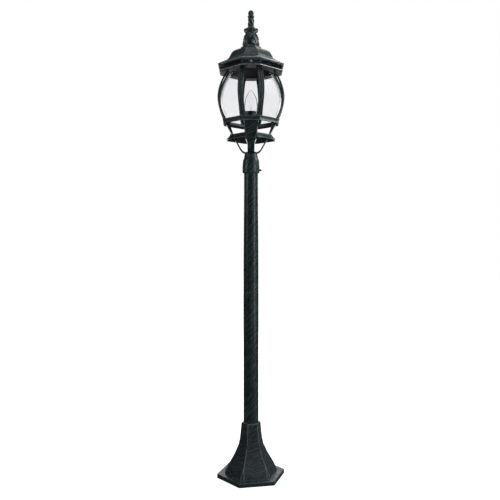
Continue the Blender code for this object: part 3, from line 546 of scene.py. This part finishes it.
def blended(table, x):
    """Read a value from a short table of (x, value), with an eased step between entries."""
    for (x0, y0), (x1, y1) in zip(table, table[1:]):
        if x <= x1:
            share = max(0.0, min(1.0, (x - x0) / (x1 - x0)))
            return y0 + (y1 - y0) * share * share * (3 - 2 * share)
    return table[-1][1]


# ---- finial --------------------------------------------------------------------------------
def spire_reach(table, height):
    """The spire's plain radius at a height, from its outline as sorted (height, radius) rows."""
    for (z0, r0), (z1, r1) in zip(table, table[1:]):
        if height <= z1:
            return r0 + (r1 - r0) * max(0.0, (height - z0) / max(1e-6, z1 - z0))
    return table[-1][1]


def make_spire():
    """The spire's turned form with a twisted leaf relief between its collars."""
    low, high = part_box("finial_spire")
    chain = outline_chain("finial_spire", 1)[0]
    outer = [p for p in chain if p[0] > 0.0045 or p[1] > high.z - 0.004]
    outer.sort(key=lambda p: -p[1])
    table = sorted((z, r) for r, z in outer)
    relief = [(low.z, 0.0), (low.z + 0.004, 0.00055), (low.z + 0.020, 0.00075),
              (low.z + 0.0235, 0.0), (high.z - 0.013, 0.0), (high.z - 0.009, 0.00045),
              (high.z - 0.003, 0.0003), (high.z, 0.0)]
    shape = bmesh.new()
    rings = []
    for row in range(SPIRE_ROWS):
        height = low.z + (high.z - low.z) * row / (SPIRE_ROWS - 1)
        radius = spire_reach(table, height)
        depth = blended(relief, height)
        ring = []
        for i in range(SPIRE_STEPS):
            angle = 2 * pi * i / SPIRE_STEPS
            twist = cos(SPIRE_LEAVES * angle + 420 * (height - low.z))
            counter = cos(SPIRE_LEAVES * angle - 300 * (height - low.z))
            reach = max(0.0002, radius + depth * (twist + 0.5 * counter - 0.6))
            ring.append(shape.verts.new((reach * cos(angle), reach * sin(angle), height)))
        rings.append(ring)
    skin_rings(shape, rings)
    name = "finial_spire_relief"
    piece = new_piece(name, finish_mesh(shape, name, RELIEF_SHARP), "finial_spire",
                      "finial_paint")
    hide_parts("finial_spire")
    for index in range(SPIRE_LEAVES):
        points = []
        for step in range(VEIN_STEPS + 1):
            height = low.z + 0.003 + VEIN_RISE * step / VEIN_STEPS
            angle = 2 * pi * index / SPIRE_LEAVES - VEIN_TWIST * (height - low.z)
            reach = spire_reach(table, height) + 0.0002
            points.append(Vector((reach * cos(angle), reach * sin(angle), height)))
        rod(f"finial_spire_vein_{index}", points, 0.0006, "finial_spire",
            [0.5 + 0.5 * sin(pi * step / VEIN_STEPS) for step in range(VEIN_STEPS + 1)],
            "lip_paint")


def make_leaf_crown():
    """Four curled leaves and four buds round a short neck."""
    low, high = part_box("finial_crown")
    tall = high.z - low.z
    core = [(0.0, high.z), (0.0078, high.z), (0.0090, high.z - 0.003),
            (0.0112, low.z + 0.60 * tall), (0.0128, low.z + 0.25 * tall),
            (0.0126, low.z + 0.08 * tall), (0.0118, low.z), (0.0, low.z)]
    piece = new_piece("finial_crown_neck", spun(core, False, SPIRE_STEPS, "finial_crown_neck"),
                      "finial_crown")
    soften(piece, 0.0006, limit=TURNED_SHARP)
    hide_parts("finial_crown")
    for index in range(4):
        angle = radians(90) * index
        route = [(r, low.z + share * tall) for r, share in CROWN_CURL]
        leaf(f"finial_leaf_{index}", route, angle, 0.0048, 0.0029, "finial_crown")
        route = [(r, low.z + share * tall) for r, share in CROWN_BUD]
        leaf(f"finial_bud_{index}", route, angle + radians(45), 0.0038, 0.0022, "finial_crown")


def make_urn():
    """The urn with its four volutes' scrolls, a leaf under each and ribs above."""
    refined("finial_urn", 0.0005, finish="finial_paint")
    low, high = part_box("finial_urn")
    tall = high.z - low.z
    for index in range(4):
        angle = FINIAL_TURN + radians(90) * index
        outward = Vector((cos(angle), sin(angle), 0))
        across = Vector((-sin(angle), cos(angle), 0))
        points = []
        for offset, radius, share in VOLUTE_STEM:
            at = angle + radians(offset)
            points.append(Vector((radius * cos(at), radius * sin(at), low.z + share * tall)))
        for step in range(VOLUTE_STEPS):
            share = step / (VOLUTE_STEPS - 1)
            reach = VOLUTE_RADIUS * (0.92 - 0.80 * share)
            turn = radians(70) - 2 * pi * VOLUTE_TURNS * share
            points.append(outward * (VOLUTE_REACH + 0.0004)
                          + across * reach * cos(turn)
                          + Vector((0, 0, VOLUTE_HEIGHT + reach * sin(turn))))
        radii = [0.5, 0.8, 1.0, 1.0] + [1.0 - 0.3 * step / VOLUTE_STEPS
                                        for step in range(VOLUTE_STEPS)]
        rod(f"finial_scroll_{index}", points, 0.0011, "finial_urn", radii, "lip_paint")
        route = [(r, low.z + rise) for r, rise in FOOT_LEAF]
        leaf(f"finial_foot_leaf_{index}", route, angle, 0.0055, 0.0011, "finial_urn",
             "rubbed_paint")
    for index in range(GADROONS):
        angle = FINIAL_TURN + radians(360 / GADROONS) * index
        points = [Vector((r * cos(angle), r * sin(angle), low.z + share * tall))
                  for r, share in GADROON]
        rod(f"finial_gadroon_{index}", points, 0.0012, "finial_urn", [0.5, 1.0, 1.2, 1.0, 0.6])


# ---- lantern beads -------------------------------------------------------------------------
def octagon(half, ratio, height, fillet):
    """The lantern's plan at a half-width: narrow and wide faces in turn, with rounded corners."""
    n = half * ratio
    corners = [Vector((x, y, height)) for x, y in
               ((half, -n), (half, n), (n, half), (-n, half),
                (-half, n), (-half, -n), (-n, -half), (n, -half))]
    ring = []
    for index, corner in enumerate(corners):
        before = (corners[index - 1] - corner).normalized() * fillet
        after = (corners[(index + 1) % 8] - corner).normalized() * fillet
        ring += [corner + before * (1 - t) ** 2 + after * t ** 2 for t in (0, 1 / 3, 2 / 3, 1)]
    return ring


def make_beads():
    """The rubbed bead mouldings that edge the roof, gallery and ring."""
    for name, node, half, ratio, height, radius in BEADS:
        finish = "lip_paint" if "lip" in name else "rubbed_paint"
        path = octagon(half, ratio, height, BEAD_CORNER)
        rod(name, path, radius, node, finish=finish, loop=True)


# ---- base ----------------------------------------------------------------------------------
def base_corner(angle):
    """The base's outer points at one corner, as [(left point, right point)] from top to foot."""
    rows = {}
    for v in welded("base_casting").verts:
        turn = (atan2(v.co.y, v.co.x) - angle + pi) % (2 * pi) - pi
        if abs(turn) < radians(11) and v.co.z > BASE_FLANGE - 0.0001:
            rows.setdefault(round(v.co.z, 5), []).append((v.co.xy.length, turn, v.co.copy()))
    pairs = []
    for height in sorted(rows, reverse=True):
        far = max(row[0] for row in rows[height])
        outer = [row for row in rows[height] if row[0] > far - 0.0008]
        if height < BASE_FLANGE + 0.0001:
            outer = [row for row in rows[height] if abs(row[0] - BASE_FOOT_REACH) < 0.003]
        if len(outer) > 1:
            outer.sort(key=lambda row: row[1])
            pairs.append((outer[0][2], outer[-1][2]))
    return pairs


def make_base():
    """The cast base with a rubbed bead down each corner, parting round the facet at its foot."""
    refined("base_casting", 0.0007, finish="base_paint")
    rim = []
    for index in range(6):
        angle = BASE_TURN + radians(60) * index
        pairs = base_corner(angle)
        middle = [(a + b) / 2 for a, b in pairs if (a - b).length < 0.002]
        rod(f"base_bead_{index}", middle, 0.00085, "base_casting", finish="rubbed_paint")
        lower = [pair for pair in pairs if (pair[0] - pair[1]).length >= 0.002]
        for side in (0, 1):
            points = [middle[-1]] + [pair[side] for pair in lower]
            rod(f"base_bead_{index}_{'ab'[side]}", points, 0.00075, "base_casting",
                finish="rubbed_paint")
        rim.append(middle[0] + Vector((0, 0, -0.0004)))
    rod("base_rim_bead", rim, 0.0008, "base_casting", finish="rubbed_paint", loop=True)


# ---- bulb ----------------------------------------------------------------------------------
def make_filament():
    """Two support wires on the glass stem and a fine coil between them."""
    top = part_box("filament_stem")[1].z
    for side in (-1, 1):
        route = [(0.0009 * side, 0, top - 0.006), (0.0012 * side, 0, top),
                 (0.0042 * side, 0, top + 0.010), (0.0060 * side, 0, top + 0.018)]
        rod(f"filament_wire_{'left' if side < 0 else 'right'}", route, 0.00016, "bulb_cap")
    coil = []
    for step in range(COIL_STEPS + 1):
        share = step / COIL_STEPS
        angle = 2 * pi * COIL_TURNS * share
        arch = sin(pi * share)
        coil.append((-0.0060 + 0.0120 * share, 0.0004 * cos(angle),
                     top + 0.018 + 0.006 * arch + 0.0004 * sin(angle)))
    rod("filament_coil", coil, 0.00010, "bulb_cap")


# ---- the whole lamp ------------------------------------------------------------------------
def make_lamp():
    make_base()
    for node in ("lower_tube", "upper_tube"):
        returned(node, TURNED_STEPS, width=0.0007)
    returned("post_cap", TURNED_STEPS, side=-1, width=0.0006)
    for node in ("lamp_tray", "crown_plate"):
        refined(node, 0.0005)
    for node in ("lower_ring", "roof"):
        refined(node, 0.0005, finish="lined_paint_painted_light")
    refined("gallery_frame", 0.0005, finish="gallery_paint")
    for side in SIDES:
        refined(f"strap_{side}", 0.0005, finish="painted_castings")
        for end in "ab":
            refined(f"rib_{side}_{end}", 0.0004, radians(20))
    for node in ("cap_nut", "strap_nut", "tray_nut", "finial_nut"):
        refined(node, 0.0004)
    for side in SIDES:
        refined(f"roof_screw_{side}", 0.0003, radians(50))
    for node in ("strap_washer", "stem_nipple", "lampholder", "holder_sleeve", "bulb_contact",
                 "bulb_cap"):
        returned(node, FITTING_STEPS)
    returned("bulb_glass", FITTING_STEPS, skin=True)
    make_beads()
    make_spire()
    make_leaf_crown()
    make_urn()
    make_filament()
    for node, obj in NODES.items():
        if not obj.hide_render:
            for slot in obj.material_slots:
                slot.material = FINISH[SLOT_OF[node]]


# ---- studio --------------------------------------------------------------------------------
def make_floor():
    bpy.ops.mesh.primitive_plane_add(size=14.0, location=(0, 0, -0.0002))
    floor = bpy.context.object
    floor.name = "studio_floor"
    graph = Graph("floor_white")
    grain = graph.noise(graph.place(), 9.0, 3.0)
    seen = graph.node("ShaderNodeLightPath", {}).outputs["Is Camera Ray"]
    pale = graph.mix(grain, rgb(0.88, 0.88, 0.88), rgb(0.92, 0.92, 0.92))
    graph.put(graph.shader.inputs["Base Color"], graph.mix(seen, rgb(0.20, 0.20, 0.20), pale))
    graph.shader.inputs["Roughness"].default_value = 0.9
    graph.shader.inputs["Specular IOR Level"].default_value = 0.0
    graph.shader.inputs["Emission Color"].default_value = rgb(*WHITE)
    # painted light: the camera sees the floor glowing white, dimmed to 0.8 within 0.9 m of the
    # lamp so that the lamps' shadow shows there
    away = graph.node("ShaderNodeVectorMath", {0: graph.place()}, operation="LENGTH")
    painted_glow = graph.step(away.outputs["Value"], 0.10, 0.9, 0.80, 1.0)
    graph.put(graph.shader.inputs["Emission Strength"], graph.math("MULTIPLY", seen, painted_glow))
    floor.data.materials.append(graph.material)


def make_world():
    """A world that the camera sees as white, but that lights the lamp only a little."""
    world = bpy.data.worlds.new("studio")
    bpy.context.scene.world = world
    world.use_nodes = True
    nodes = world.node_tree.nodes
    links = world.node_tree.links
    background = nodes["Background"]
    background.inputs["Color"].default_value = rgb(*WHITE)
    path = nodes.new("ShaderNodeLightPath")
    share = nodes.new("ShaderNodeMapRange")
    share.inputs["To Min"].default_value = AMBIENT
    share.inputs["To Max"].default_value = 1.0
    links.new(path.outputs["Is Camera Ray"], share.inputs["Value"])
    links.new(share.outputs[0], background.inputs["Strength"])


def add_light(name, place, target, size, energy):
    light = bpy.data.lights.new(name, "AREA")
    light.shape = "RECTANGLE"
    light.size, light.size_y = size
    light.energy = energy
    lamp = bpy.data.objects.new(name, light)
    lamp.visible_camera = False
    lamp.location = place
    lamp.rotation_euler = (Vector(target) - Vector(place)).to_track_quat("-Z", "Y").to_euler()
    bpy.context.scene.collection.objects.link(lamp)


def make_lights():
    for row in LIGHTS:
        add_light(*row)


def make_camera():
    camera = bpy.data.cameras.new("camera")
    camera.lens = CAMERA_LENS
    camera.sensor_width = 36.0
    camera.shift_x, camera.shift_y = CAMERA_SHIFT
    eye = bpy.data.objects.new("camera", camera)
    eye.location = (0, -CAMERA_DISTANCE, CAMERA_HEIGHT)
    eye.rotation_euler = (CAMERA_PITCH, 0, 0)
    bpy.context.scene.collection.objects.link(eye)
    bpy.context.scene.camera = eye


make_camera()
make_lamp()
make_floor()
make_world()
make_lights()
bpy.context.scene.view_settings.view_transform = "Standard"
